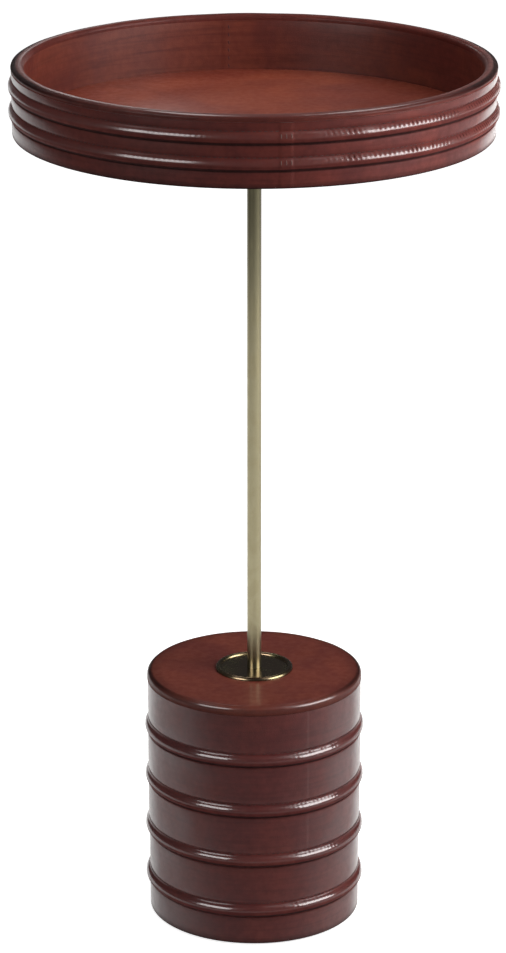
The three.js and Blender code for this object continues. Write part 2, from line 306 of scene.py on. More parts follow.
def leatherMaterial(name, look):
    material, tree, principled, place = newMaterial(name)
    dye = useGroup(tree, rubbedDye, Place=place, Clouds=look["clouds"], Streaks=look["streaks"])
    grain = useGroup(tree, hideGrain, Place=place, Pebbles=look["pebbles"])
    crease, crest, burnish = [
        addNode(tree, "ShaderNodeAttribute", attribute_name=mark).outputs["Fac"]
        for mark in ("crease", "crest", "burnish")]
    colour = mixColours(tree, dye["Clouds"], look["base"], look["warm"])
    for mask, share in ((dye["Streaks"], 0.55), (dye["Mottle"], 0.28), (grain["Pores"], 0.4)):
        colour = mixColours(tree, maths(tree, "MULTIPLY", mask, share), colour, look["deep"])
    # Painted highlight: crests are mixed towards a lighter colour
    paintedCrestLight = maths(tree, "MULTIPLY", crest, ranged(tree, dye["Mottle"], 0.1, 0.9, 0.1, 0.4))
    colour = mixColours(tree, paintedCrestLight, colour, look["crestLight"])
    # Painted shade at edges: bottom edges, the lip's side, and outer edges at the sides and back
    paintedEdgeShade = maths(tree, "MULTIPLY", burnish, 0.94)
    colour = mixColours(tree, paintedEdgeShade, colour, shade(0.18, look["deep"]))
    # Painted shade in creases, grooves, pits, under the ribs and at bottom edges
    creaseShade = ranged(tree, crease, 0.35, 1.0, 0.0, 0.9)
    colour = mixColours(tree, creaseShade, colour, shade(0.4, look["deep"]))
    creased = maths(tree, "MULTIPLY", crease, 3.0)
    dry = maths(tree, "MAXIMUM", creased, maths(tree, "MULTIPLY", burnish, 0.8), clamp=True)
    waxed = maths(tree, "SUBTRACT", 1.0, dry)
    facing = addNode(tree, "ShaderNodeLayerWeight").outputs["Facing"]
    # Painted sheen: a pale colour mixed in where the hide turns away
    paintedSheen = maths(tree, "MULTIPLY", ranged(tree, facing, 0.6, 0.92, 0.0, look["paintedSheen"]), waxed)
    colour = mixColours(tree, paintedSheen, colour, tone(214, 210, 208))
    plug(tree, colour, principled.inputs["Base Color"])
    roughness = maths(tree, "MULTIPLY_ADD", dye["Mottle"], 0.1, look["roughness"] - 0.05)
    roughness = maths(tree, "MULTIPLY_ADD", crease, 0.35, roughness)
    plug(tree, roughness, principled.inputs["Roughness"])
    principled.inputs["IOR"].default_value = 1.25
    principled.inputs["Specular IOR Level"].default_value = 0.25
    shine = ranged(tree, facing, *look["turning"], *look["shine"])
    shine = maths(tree, "MULTIPLY", shine, maths(tree, "MULTIPLY_ADD", dye["Clouds"], -0.25, 1.0))
    more = maths(tree, "MULTIPLY", crest, maths(tree, "SUBTRACT", look["crest"], shine))
    shine = maths(tree, "MULTIPLY", maths(tree, "ADD", shine, more), waxed, clamp=True)
    plug(tree, shine, principled.inputs["Coat Weight"])
    principled.inputs["Coat Roughness"].default_value = look["shineRoughness"]
    principled.inputs["Coat IOR"].default_value = 1.6
    bumped(tree, principled, grain["Height"], look["bump"])
    return material


# Metals. The stem's colour darkens to "shaded" between two heights near the tray, as painted shade under the
# tray.
metals = {
    "antiqueBrass": {
        "bright": tone(146, 139, 112), "dull": tone(142, 134, 106), "stain": tone(112, 104, 80),
        "roughness": 0.28, "lines": 1.0, "bump": 0.004 * mm,
        "shaded": tone(88, 84, 66), "shadedHeights": (0.36, 0.5),
    },
    # The flange's brass is painted darker than the stem's, as a painted dark reflection of the dim room in
    # its polished top
    "darkBrass": {
        "bright": tone(116, 98, 78), "dull": tone(112, 104, 76), "stain": tone(70, 64, 44),
        "roughness": 0.22, "lines": 0.3, "bump": 0.003 * mm,
    },
    "platedSteel": {
        "bright": tone(186, 188, 190), "dull": tone(138, 140, 142), "stain": tone(92, 90, 86),
        "roughness": 0.34, "lines": 0.6, "bump": 0.008 * mm,
    },
}


def metalMaterial(name, look):
    material, tree, principled, place = newMaterial(name)
    marks = useGroup(tree, metalMarks, Place=place, Lines=look["lines"])
    colour = mixColours(tree, marks["Tarnish"], look["bright"], look["dull"])
    if "shaded" in look:
        parts = addNode(tree, "ShaderNodeSeparateXYZ")
        plug(tree, place, parts.inputs[0])
        darker = ranged(tree, parts.outputs["Z"], *look["shadedHeights"])
        colour = mixColours(tree, darker, colour, look["shaded"])
    colour = mixColours(tree, maths(tree, "MULTIPLY", marks["Specks"], 0.35), colour, look["stain"])
    plug(tree, colour, principled.inputs["Base Color"])
    principled.inputs["Metallic"].default_value = 1.0
    roughness = maths(tree, "MULTIPLY_ADD", marks["Tarnish"], 0.06, look["roughness"])
    roughness = maths(tree, "MULTIPLY_ADD", marks["Specks"], 0.08, roughness)
    plug(tree, roughness, principled.inputs["Roughness"])
    bumped(tree, principled, marks["Lines"], look["bump"])
    return material


# Fibres and threads: light colour, dark colour, fineness and depth
fibrous = {
    "felt": (tone(58, 54, 50), tone(20, 18, 17), 1500.0, 0.25 * mm),
    "fibreboard": (tone(160, 130, 94), tone(112, 88, 60), 700.0, 0.06 * mm),
    "plywood": (tone(206, 172, 124), tone(164, 128, 84), 300.0, 0.05 * mm),
    "cotton": (tone(222, 214, 192), tone(168, 156, 130), 1200.0, 0.2 * mm),
    "castIron": (tone(78, 78, 80), tone(42, 42, 44), 500.0, 0.15 * mm),
    "thread": (tone(84, 42, 38), tone(46, 22, 21), 2400.0, 0.06 * mm),
    "paleThread": (tone(126, 92, 84), tone(88, 56, 50), 2400.0, 0.06 * mm),
}


def fibrousMaterial(name, light, dark, fineness, depth):
    material, tree, principled, place = newMaterial(name)
    threads = useGroup(tree, fibres, Place=place, Fineness=fineness)
    plug(tree, mixColours(tree, threads["Tone"], dark, light), principled.inputs["Base Color"])
    roughness = ranged(tree, threads["Height"], 0.3, 0.7, 0.95, 0.7)
    plug(tree, roughness, principled.inputs["Roughness"])
    principled.inputs["Specular IOR Level"].default_value = 0.25
    principled.inputs["Sheen Weight"].default_value = 0.1
    bumped(tree, principled, threads["Height"], depth)
    return material


finishes = {}
for name, look in leathers.items():
    finishes[f"{name}Leather"] = leatherMaterial(f"{name}Leather", look)
finishes |= {name: metalMaterial(name, look) for name, look in metals.items()}
finishes |= {name: fibrousMaterial(name, *look) for name, look in fibrous.items()}
print("materials made")


def deselectAll():
    bpy.ops.object.select_all(action="DESELECT")


def named(piece, name):
    piece.name = name
    piece.data.name = name
    return piece


# Points round part of a circle, the angles in degrees from straight outwards
def arc(radius, height, size, start, end, steps):
    angles = [math.radians(start + (end - start) * step / steps) for step in range(steps + 1)]
    return [(radius + size * math.cos(angle), height + size * math.sin(angle)) for angle in angles]


# A piece of revolution: one vertex is drawn along the outline, and the line is screwed round
def turnedPiece(name, outline, steps, smoothDegrees=50):
    deselectAll()
    bpy.ops.mesh.primitive_plane_add(size=mm)
    piece = named(bpy.context.object, name)
    bpy.ops.object.mode_set(mode="EDIT")
    bpy.ops.mesh.select_all(action="SELECT")
    bpy.ops.mesh.merge(type="CENTER")
    bpy.ops.transform.translate(value=(outline[0][0], 0, outline[0][1]))
    for (radius, height), (nextRadius, nextHeight) in zip(outline, outline[1:]):
        step = (nextRadius - radius, 0, nextHeight - height)
        bpy.ops.mesh.extrude_region_move(TRANSFORM_OT_translate={"value": step})
    bpy.ops.mesh.select_all(action="SELECT")
    bpy.ops.mesh.remove_doubles(threshold=mergeDistance)
    bpy.ops.object.mode_set(mode="OBJECT")
    bpy.ops.object.modifier_add(type="SCREW")
    screw = piece.modifiers[-1]
    screw.angle = fullTurn
    screw.steps = steps
    screw.render_steps = steps
    screw.use_merge_vertices = True
    screw.merge_threshold = mergeDistance
    bpy.ops.object.modifier_apply(modifier=screw.name)
    bpy.ops.object.mode_set(mode="EDIT")
    bpy.ops.mesh.select_all(action="SELECT")
    bpy.ops.mesh.remove_doubles(threshold=mergeDistance)
    bpy.ops.mesh.normals_make_consistent(inside=False)
    bpy.ops.object.mode_set(mode="OBJECT")
    bpy.ops.object.shade_smooth_by_angle(angle=math.radians(smoothDegrees))
    return piece


# Moves each vertex by what a function says of its radius, angle and height. The angle is 0 at
# the front and grows towards +X.
def worked(piece, change):
    for vertex in piece.data.vertices:
        x, y, height = vertex.co
        radius = math.hypot(x, y)
        angle = math.atan2(x, -y)
        out, up = change(radius, angle, height)
        if radius > 0:
            vertex.co.x = x + out * x / radius
            vertex.co.y = y + out * y / radius
        vertex.co.z = height + up
    piece.data.update()


def painted(piece, name, value):
    layer = piece.data.attributes.new(name, "FLOAT", "POINT")
    for index, vertex in enumerate(piece.data.vertices):
        x, y, height = vertex.co
        layer.data[index].value = value(math.hypot(x, y), math.atan2(x, -y), height)


# 1 at the sides and the back, and 0.2 at the front: the share of painted shade on edges, which face the dim
# room at the sides and back
def shadeAwayFromFront(angle):
    return 1 - 0.8 * min(1, max(0, (math.cos(angle) - 0.45) / 0.4))


# A slow random drift round the piece and up it, as hand work has
def wander(angle, height, size, turns, seed):
    place = Vector((math.sin(angle) * turns, math.cos(angle) * turns, height / (40 * mm) + seed))
    return size * noise.noise(place)


def bell(value, width, power=2):
    return math.exp(-((value / width) ** power))


def dress(piece, finish, slotName, *nodes):
    piece.data.materials.clear()
    piece.data.materials.append(finishes[finish])
    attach(piece, "root")
    if nodes:
        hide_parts(*nodes)


# Outline of leather drawn over half-round cords, from the bottom edge up, over the top and
# down the inside. Each rib starts in a deep crease and ends in a shallow stitched groove. The
# pairs of numbers are shares of a run's height and of its depth.
def ribbedOutline(skin, core, crest, low, high, ribHeights, walls):
    arch = skin["arch"]
    centre = crest - arch
    edge = skin["edgeRound"]
    dip = skin["creaseDip"]
    seam = skin["seamRise"]
    seamDip = skin["seamDip"]
    seamRun = skin["seamRun"]
    steps = skin["bandSteps"]
    outline = [(core, low)]
    outline += arc(walls[0] - edge, low + edge, edge, -90, 0, 4)
    bandLow = low + edge
    for index, height in enumerate(ribHeights + [None]):
        wall = walls[index]
        bandHigh = high if height is None else height - skin["creaseDrop"]
        for step in range(1, steps):
            share = step / steps
            swell = skin["bandSwell"] * math.sin(math.pi * share)
            outline.append((wall + swell, bandLow + (bandHigh - bandLow) * share))
        outline.append((wall, bandHigh))
        if height is None:
            break
        above = walls[index + 1]
        lowTurn = math.degrees(math.acos((wall - dip - centre) / arch))
        highTurn = math.degrees(math.acos((above + skin["seamLift"] - centre) / arch))
        rib = arc(centre, height, arch, -lowTurn, highTurn, skin["archSteps"])
        run = rib[0][1] - bandHigh
        outline += [(wall - deep * dip, bandHigh + up * run) for up, deep in ((0.4, 0.25), (0.75, 0.8))]
        outline += rib
        ribEnd = rib[-1][1]
        rise = height + seam - ribEnd
        outline += [(above - deep * seamDip, ribEnd + up * rise) for up, deep in ((0.45, 0.1), (0.75, 0.75))]
        outline += [(above - deep * seamDip, height + seam + up * seamRun)
                    for up, deep in ((0, 1), (0.3, 0.7), (0.65, 0.2), (1, 0))]
        bandLow = height + seam + seamRun
    outline.append((core, high))
    tunnel = arch - skin["hide"]
    turn = math.degrees(math.acos((core - centre) / tunnel))
    for height in reversed(ribHeights):
        outline += arc(centre, height, tunnel, turn, -turn, 6)
    outline.append((core, low))
    return outline


# How far the hide stands out at a height, for the stitches that lie on it
def skinRadius(height, wall, crest, ribHeights, arch):
    for rib in ribHeights:
        if abs(height - rib) < arch:
            return max(wall, crest - arch + math.sqrt(arch ** 2 - (height - rib) ** 2))
    return wall


# How hard the stitches pull the hide at an angle: in small pits, and harder on the right
def gathered(skin, index, angle):
    hole = 0.5 + 0.5 * math.cos(skin["stitches"] * angle)
    strength = 0.75 + 1.1 * noise.noise(Vector((angle * 14, index, skin["seed"])))
    return hole * min(1, max(0, strength * (0.3 + max(0, math.sin(angle)))))


def ribDrift(skin, index, rib, angle):
    return wander(angle, rib, skin["ribWander"], skin["ribTurns"], skin["seed"] + index)


# Hand work on a ribbed skin: ribs that wander a little, walls that aren't quite flat, leather
# puckered by the stitches above each rib, and a seam
def handWorked(skin, core, ribHeights, seam):
    reachOut = skin["seamRise"] + skin["seamRun"]

    def change(radius, angle, height):
        if radius < core + 0.75 * skin["hide"]:
            return 0, 0
        up = 0
        out = wander(angle, height, skin["wallWander"], skin["wallTurns"], skin["seed"])
        for index, rib in enumerate(ribHeights):
            near = max(0, 1 - abs(height - rib) / (1.5 * reachOut))
            if near > 0:
                up += near * ribDrift(skin, index, rib, angle)
            line = height - rib - skin["seamRise"]
            pull = skin["pucker"] * bell(line, 0.4 * skin["seamRun"])
            pull += skin["gather"] * bell(height - rib - skin["shineRise"], 1.5 * mm)
            if pull > 0.002 * mm:
                out -= pull * gathered(skin, index, angle)
        return min(0, out) + seam(angle, height), up
    return change


# Painted shade: 1 in the dark line under each rib and at the bottom edge, less in the stitched groove and
# the pits just below it, and 0.35 on the lower half of a rib, which is dry but not painted darker
def creaseOf(skin, ribHeights, low):
    def value(radius, angle, height):
        marks = [bell(max(0, height - low), 0.6 * skin["edgeShade"])]
        for index, rib in enumerate(ribHeights):
            under = height - rib + skin["shadeDrop"]
            if -skin["shadeDrop"] < height - rib < -0.3 * mm:
                marks.append(0.35)
            pit = bell(height - rib - skin["pitRise"], skin["pitHalf"])
            if pit > 0.1:
                marks.append(skin["pitShare"] * pit * gathered(skin, index, angle))
            marks.append(bell(under, skin["shadeHalf"], 4))
            marks.append(skin["seamShade"] * bell(height - rib - skin["seamRise"], 0.45 * skin["seamRun"]))
        return max(marks)
    return value


# 1 at the lower edge of a skin, which is painted dark as shade under the edge
def edgeOf(skin, low):
    return lambda radius, angle, height: bell(max(0, height - low), skin["edgeShade"])


# 1 on the upper half of each rib, which is painted lighter as a painted highlight and given more wax
def crestOf(skin, core, ribHeights):
    def value(radius, angle, height):
        if radius < core + 0.75 * skin["hide"]:
            return 0
        return max(bell(height - rib - skin["shineRise"], skin["shineHalf"], 4) for rib in ribHeights)
    return value


# One stitch is modelled at the front and copied round the ring
def stitchRing(name, count, radius, height, size):
    deselectAll()
    bpy.ops.mesh.primitive_uv_sphere_add(segments=8, ring_count=5, radius=0.5)
    ring = named(bpy.context.object, name)
    bpy.ops.object.mode_set(mode="EDIT")
    bpy.ops.mesh.select_all(action="SELECT")
    bpy.ops.transform.rotate(value=math.pi / 2, orient_axis="Y", center_override=middle)
    bpy.ops.transform.resize(value=size)
    bpy.ops.transform.translate(value=(0, -radius, height))
    bpy.ops.mesh.spin(steps=count, dupli=True, angle=fullTurn, center=middle, axis=axisUp)
    bpy.ops.mesh.select_all(action="SELECT")
    bpy.ops.mesh.remove_doubles(threshold=mergeDistance)
    bpy.ops.mesh.normals_make_consistent(inside=False)
    bpy.ops.object.mode_set(mode="OBJECT")
    bpy.ops.object.shade_smooth()
    return ring


def joined(name, pieces):
    deselectAll()
    for piece in pieces:
        piece.select_set(True)
    bpy.context.view_layer.objects.active = pieces[0]
    bpy.ops.object.join()
    return named(bpy.context.object, name)


# A line of stitches up a seam, each laid on the hide
def stitchColumn(name, angle, heights, radiusAt, size, lean=0.0):
    stitches = []
    for height in heights:
        deselectAll()
        bpy.ops.mesh.primitive_uv_sphere_add(segments=8, ring_count=6, radius=0.5)
        stitch = bpy.context.object
        step = 0.3 * size[2]
        tilt = math.atan((radiusAt(height + step) - radiusAt(height - step)) / (2 * step))
        along = Matrix.Rotation(angle, 4, "Z") @ Matrix.Translation((0, -radiusAt(height), height))
        laid = along @ Matrix.Rotation(tilt, 4, "X") @ Matrix.Rotation(lean, 4, "Y")
        stitch.data.transform(laid @ Matrix.Diagonal((*size, 1)))
        bpy.ops.object.shade_smooth()
        stitches.append(stitch)
    return joined(name, stitches)


# A ribbed skin: turned, painted with its marks, worked by hand and stitched in the grooves above
# its ribs, where the stitches follow the way the ribs wander
def ribbedSkin(name, stitchName, node, finish, skin, core, crest, low, high, ribHeights, seam):
    walls = [core + skin["hide"] + offset for offset in skin["wallOffsets"]]
    outline = ribbedOutline(skin, core, crest, low, high, ribHeights, walls)
    piece = turnedPiece(name, outline, skin["steps"])
    painted(piece, "crease", creaseOf(skin, ribHeights, low))
    painted(piece, "crest", crestOf(skin, core, ribHeights))
    painted(piece, "burnish", edgeOf(skin, low))
    worked(piece, handWorked(skin, core, ribHeights, seam))
    dress(piece, finish, "leather_side", node)
    rings = []
    for index, rib in enumerate(ribHeights):
        radius = walls[index + 1] - 0.75 * skin["seamDip"]
        ring = stitchRing(
            f"{stitchName}{index}", skin["stitches"], radius, rib + skin["seamRise"], skin["stitchSize"])
        worked(ring, lambda out, angle, height: (0, 0.6 * ribDrift(skin, index, rib, angle)))
        rings.append(ring)
    dress(joined(stitchName, rings), "thread", "leather_side")


# Foot, side leather
footSkin = {
    "steps": 564, "stitches": 141, "stitchSize": (2.4 * mm, 0.45 * mm, 0.5 * mm),
    "hide": 1.6 * mm, "arch": 4.4 * mm, "archSteps": 14, "edgeRound": 0.8 * mm, "edgeShade": 1.1 * mm,
    "bandSteps": 5, "bandSwell": 0.1 * mm, "creaseDip": 0.3 * mm, "creaseDrop": 5.3 * mm,
    "seamLift": 0.25 * mm, "seamRise": 5.4 * mm, "seamDip": 0.3 * mm, "seamRun": 1.9 * mm,
    "shadeDrop": 3.3 * mm, "shadeHalf": 1.3 * mm, "seamShade": 0.3,
    "shineRise": 2.3 * mm, "shineHalf": 1.7 * mm,
    "wallOffsets": (-0.7 * mm, -0.6 * mm, 0.0, 0.1 * mm, 0.0), "wallWander": 0.35 * mm,
    "wallTurns": 2.2, "ribWander": 0.6 * mm, "ribTurns": 1.1, "seed": 3.0,
    "pucker": 0.3 * mm, "gather": 0.12 * mm, "pitRise": 3.6 * mm, "pitHalf": 0.9 * mm, "pitShare": 0.5,
    "seamAngle": 29.8, "seamStep": 0.14 * mm, "seamFade": 14.0,
}


def footSeam(angle, height):
    past = math.degrees(angle) - footSkin["seamAngle"]
    if past > 0 or past < -footSkin["seamFade"]:
        return 0
    return footSkin["seamStep"] * (1 + past / footSkin["seamFade"])


ribbedSkin("footSideLeather", "footRibStitches", "foot_side_leather", "footLeather", footSkin,
           footCore, footCrest, footSkinLow, footSkinHigh, footRibHeights, footSeam)
print("foot side made")


# Foot, top leather with its rolled edge
footCap = {
    "steps": 320, "shoulder": 3.6 * mm, "boardChamfer": 2 * mm, "hide": 1.6 * mm,
    "lipTuck": 0.5 * mm, "sag": 0.18 * mm, "sagTurns": 26.0, "swell": 0.15 * mm,
    "holeEase": 0.3 * mm, "rings": 9,
}


def buildFootTop():
    hole = rodRadius + footCap["holeEase"]
    shoulder = footCap["shoulder"]
    chamfer = footCap["boardChamfer"]
    tuck = footCap["lipTuck"]
    inner = footLip - shoulder
    under = footTop - footCap["hide"]
    outline = [(hole, under), (footCore - chamfer, under), (footCore, under - chamfer)]
    outline += [(footCore, topSkinLow), (footLip - tuck, topSkinLow)]
    outline += arc(footLip - tuck, topSkinLow + tuck, tuck, -90, 0, 4)
    outline += arc(inner, footTop - shoulder, shoulder, 0, 90, 9)
    for ring in range(1, footCap["rings"]):
        outline.append((inner + (hole - inner) * ring / footCap["rings"], footTop))
    outline += [(hole, footTop), (hole, under)]
    piece = turnedPiece("footTopLeather", outline, footCap["steps"])

    # Painted shade in the fold under the lip
    def fold(radius, angle, height):
        return bell(height - topSkinLow, 0.6 * mm) if radius > footCore else 0

    # Painted highlight with more wax along the shoulder
    def crown(radius, angle, height):
        return bell(height - footTop + 0.5 * shoulder, 0.3 * shoulder) if radius > inner else 0

    # Painted shade on the lip's side, and on the shoulder at the sides and back
    def edging(radius, angle, height):
        if radius < inner - 2 * mm:
            return 0
        side = 0.4 if height < footTop - 0.6 * shoulder and radius > footCore else 0
        return max(side, shadeAwayFromFront(angle) * 0.95 * bell(radius - footLip + 0.5 * shoulder, 0.5 * shoulder))

    painted(piece, "crease", fold)
    painted(piece, "crest", crown)
    painted(piece, "burnish", edging)

    def sag(radius, angle, height):
        if height < under + 0.5 * mm or radius < flangeRadius + 2 * mm:
            return 0, 0
        x, y = radius * math.sin(angle), radius * math.cos(angle)
        dip = noise.noise(Vector((x * footCap["sagTurns"], y * footCap["sagTurns"], 4.2)))
        swell = noise.noise(Vector((math.sin(angle) * 2, math.cos(angle) * 2, 8.8)))
        return footCap["swell"] * swell, -footCap["sag"] * (0.5 + dip)

    worked(piece, sag)
    dress(piece, "topLeather", "leather_top", "foot_top_leather")


buildFootTop()
print("foot top made")


# Felt under the foot
padSet = {"steps": 160, "edge": 0.5 * mm}


def buildPad():
    edge = padSet["edge"]
    outline = [(0, padHigh), (padRadius - edge, padHigh)]
    outline += arc(padRadius - edge, padHigh - edge, edge, 90, 0, 3)
    outline += arc(padRadius - edge, padLow + edge, edge, 0, -90, 3)
    outline += [(0.6 * padRadius, padLow), (0.25 * padRadius, padLow), (0, padLow)]
    piece = turnedPiece("footFeltPad", outline, padSet["steps"])
    dress(piece, "felt", "felt", "foot_pad")


buildPad()


# Stem, with its flange below and its socket above
stemSet = {
    "steps": 72, "rings": 24, "chamfer": 0.3 * mm, "boreEase": 0.3 * mm,
    "flangeSteps": 200, "rimWidth": 3.8 * mm, "rimHeight": 2.2 * mm, "floorHeight": 0.8 * mm,
    "floorRings": 5, "spigotWall": 1.2 * mm, "socketRound": 0.5 * mm,
}


def buildStem():
    bore = rodRadius + stemSet["boreEase"]
    chamfer = stemSet["chamfer"]
    rings = stemSet["rings"]
    outline = [(bore, stemLow), (stemRadius, stemLow)]
    outline += [(stemRadius, stemLow + (stemHigh - stemLow) * ring / rings) for ring in range(1, rings)]
    outline += [(stemRadius, stemHigh - chamfer), (stemRadius - chamfer, stemHigh)]
    outline += [(bore, stemHigh), (bore, stemLow)]
    piece = turnedPiece("stemTube", outline, stemSet["steps"])
    dress(piece, "antiqueBrass", "brass", "stem_tube")

    beadHalf = stemSet["rimWidth"] / 2
    floorHeight = footTop + stemSet["floorHeight"]
    outline = [(bore, footTop), (flangeRadius, footTop)]
    share = stemSet["rimHeight"] / beadHalf
    bead = arc(flangeRadius - beadHalf, 0, beadHalf, 0, 160, 16)
    outline += [(radius, footTop + height * share) for radius, height in bead[1:]]
    floorEdge = outline[-1][0] - 0.25 * mm
    outline += [(floorEdge + (bore - floorEdge) * ring / stemSet["floorRings"], floorHeight)
                for ring in range(stemSet["floorRings"])]
    outline += [(bore, floorHeight), (bore, footTop)]
    piece = turnedPiece("stemFlange", outline, stemSet["flangeSteps"], 40)
    dress(piece, "darkBrass", "dark_brass", "stem_flange")

    socketBore = stemRadius + stemSet["boreEase"]
    spigot = bore + stemSet["spigotWall"]
    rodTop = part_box("stem_tie_rod")[1].z + stemSet["boreEase"]
    rounding = stemSet["socketRound"]
    outline = [(socketBore, socketLow)]
    outline += arc(socketRadius - rounding, socketLow + rounding, rounding, -90, 0, 5)
    outline += [(socketRadius, socketLow + 0.5 * (plateLow - socketLow)), (socketRadius, plateLow)]
    outline += [(spigot, plateLow), (spigot, socketHigh), (0, socketHigh), (0, rodTop), (bore, rodTop)]
    outline += [(bore, stemHigh), (socketBore, stemHigh), (socketBore, socketLow)]
    piece = turnedPiece("stemTopSocket", outline, stemSet["steps"])
    dress(piece, "antiqueBrass", "brass", "stem_top_socket")


buildStem()
print("stem made")


# Tray, outer leather over two cords
traySkin = {
    "steps": 1136, "stitches": 284, "stitchSize": (2.4 * mm, 0.45 * mm, 0.5 * mm),
    "hide": 1.2 * mm, "arch": 4.4 * mm, "archSteps": 14, "edgeRound": 1.0 * mm, "edgeShade": 1.5 * mm,
    "bandSteps": 3, "bandSwell": 0.05 * mm, "creaseDip": 0.3 * mm, "creaseDrop": 5.2 * mm,
    "seamLift": 0.25 * mm, "seamRise": 4.3 * mm, "seamDip": 0.3 * mm, "seamRun": 1.6 * mm,
    "shadeDrop": 3.6 * mm, "shadeHalf": 1.35 * mm, "seamShade": 0.4,
    "shineRise": 1.7 * mm, "shineHalf": 2.0 * mm,
    "wallOffsets": (0.0, 0.0, 0.0), "wallWander": 0.35 * mm,
    "wallTurns": 4.0, "ribWander": 0.7 * mm, "ribTurns": 2.0, "seed": 11.0,
    "pucker": 0.4 * mm, "gather": 0.26 * mm, "pitRise": 2.5 * mm, "pitHalf": 1.5 * mm, "pitShare": 1.0,
    "lapAngle": 7.1, "lapHalf": 1.45, "lapProud": 0.3 * mm, "lapEdge": 0.12,
    "lapStitch": (0.6 * mm, 0.5 * mm, 3.0 * mm), "lapStitchRise": 1.6 * mm,
}
trayWall = hoopOuter + traySkin["hide"]


def trayLap(angle, height):
    off = abs(math.degrees(angle) - traySkin["lapAngle"])
    share = (traySkin["lapHalf"] + traySkin["lapEdge"] - off) / (2 * traySkin["lapEdge"])
    return traySkin["lapProud"] * min(1, max(0, share))


def onLap(height):
    return skinRadius(height, trayWall, trayCrest, trayRibHeights, traySkin["arch"]) + traySkin["lapProud"]


# Three pale threads on each rib hold the lap
def buildLapStitches():
    columns = []
    heights = [rib + traySkin["lapStitchRise"] for rib in trayRibHeights]
    for index, share in enumerate((-0.8, 0.0, 0.8)):
        angle = math.radians(traySkin["lapAngle"] + share * traySkin["lapHalf"])
        columns.append(stitchColumn(f"traySeam{index}", angle, heights, onLap, traySkin["lapStitch"]))
    dress(joined("traySeamStitches", columns), "paleThread", "leather_side")


ribbedSkin("trayOuterLeather", "trayRibStitches", "tray_outer_leather", "wallLeather", traySkin,
           hoopOuter, trayCrest, traySkinLow, traySkinHigh, trayRibHeights, trayLap)
buildLapStitches()
print("tray wall made")


# Tray lining, floor, underside and rim
trayInside = {
    "steps": 640, "wallRings": 12, "hide": 1.2 * mm, "wallWander": 0.5 * mm, "wallTurns": 3.0,
    "lapAngle": -172.1, "lapProud": 0.55 * mm, "lapFade": 7.0,
    "stitchSize": (0.7 * mm, 0.5 * mm, 2.9 * mm), "stitchLean": 0.25, "stitchBack": 1.15,
    "stitchPitch": 5.2 * mm, "floorSteps": 360, "floorRings": 22, "floorEdge": 3.5 * mm,
    "floorWave": 0.35 * mm, "floorTurns": 17.0,
    "undersideSteps": 320, "undersideRings": 16, "undersideEdge": 0.5 * mm,
}
rimSet = {
    "steps": 720, "tuck": 0.35 * mm, "inset": 0.2 * mm, "round": 1.5 * mm, "innerRound": 2.8 * mm,
    "dome": 12 * mm, "line": 0.4 * mm, "lineDrop": 3.4 * mm, "dark": 3.0 * mm, "wander": 0.25 * mm,
}
liningInner = liningOuter - trayInside["hide"]


def buildLining():
    rings = trayInside["wallRings"]
    drop = liningLow - liningHigh
    outline = [(liningOuter, liningLow), (liningOuter, liningHigh)]
    outline += [(liningInner, liningHigh + drop * ring / rings) for ring in range(rings + 1)]
    outline += [(liningOuter, liningLow)]
    piece = turnedPiece("trayInnerLeather", outline, trayInside["steps"])

    def change(radius, angle, height):
        if radius > liningInner + 0.3 * mm:
            return 0, 0
        past = (math.degrees(angle) - trayInside["lapAngle"]) % 360
        lap = 0
        if past > 360 - trayInside["lapFade"]:
            lap = trayInside["lapProud"] * (1 - (360 - past) / trayInside["lapFade"])
        edge = min(1, (liningHigh - height) / (4 * mm))
        out = wander(angle, height, trayInside["wallWander"], trayInside["wallTurns"], 21.0)
        return -lap + edge * min(0, out - 0.1 * mm), 0

    def onWall(height):
        return liningInner - trayInside["lapProud"]

    worked(piece, change)
    dress(piece, "liningLeather", "leather_inner", "tray_inner_leather")
    angle = math.radians(trayInside["lapAngle"] - trayInside["stitchBack"])
    pitch = trayInside["stitchPitch"]
    count = int((liningHigh - floorTop) / pitch)
    heights = [floorTop + pitch * (index + 0.5) for index in range(count)]
    column = stitchColumn(
        "liningSeamStitches", angle, heights, onWall, trayInside["stitchSize"], trayInside["stitchLean"])
    dress(column, "thread", "leather_inner")


def buildTrayFloor():
    rings = trayInside["floorRings"]
    edge = trayInside["floorEdge"]
    turns = trayInside["floorTurns"]
    outline = [(0, floorLow), (floorRadius, floorLow), (floorRadius, floorTop)]
    outline += [(floorRadius - 0.35 * edge, floorTop), (floorRadius - edge, floorTop)]
    outline += [((floorRadius - edge) * (1 - ring / rings), floorTop) for ring in range(1, rings + 1)]
    piece = turnedPiece("trayFloorLeather", outline, trayInside["floorSteps"])

    def change(radius, angle, height):
        if height < floorTop - 0.2 * mm or radius < 0.5 * mm:
            return 0, 0
        x, y = radius * math.sin(angle), radius * math.cos(angle)
        wave = noise.noise(Vector((x * turns * 0.6, y * turns * 1.6, 2.5)))
        still = min(1, max(0, (floorRadius - radius) / (12 * mm)))
        return 0, -0.5 * trayInside["floorWave"] * (1 + wave) * still

    worked(piece, change)
    dress(piece, "floorLeather", "leather_floor", "tray_floor_leather")


def buildUnderside():
    edge = trayInside["undersideEdge"]
    rings = trayInside["undersideRings"]
    outline = [(0, undersideHigh), (undersideRadius, undersideHigh)]
    outline += [(undersideRadius, undersideLow + edge), (undersideRadius - edge, undersideLow)]
    outline += [(undersideRadius * (1 - ring / rings), undersideLow) for ring in range(1, rings + 1)]
    piece = turnedPiece("trayUndersideLeather", outline, trayInside["undersideSteps"])
    dress(piece, "wallLeather", "leather_side", "tray_underside_leather")


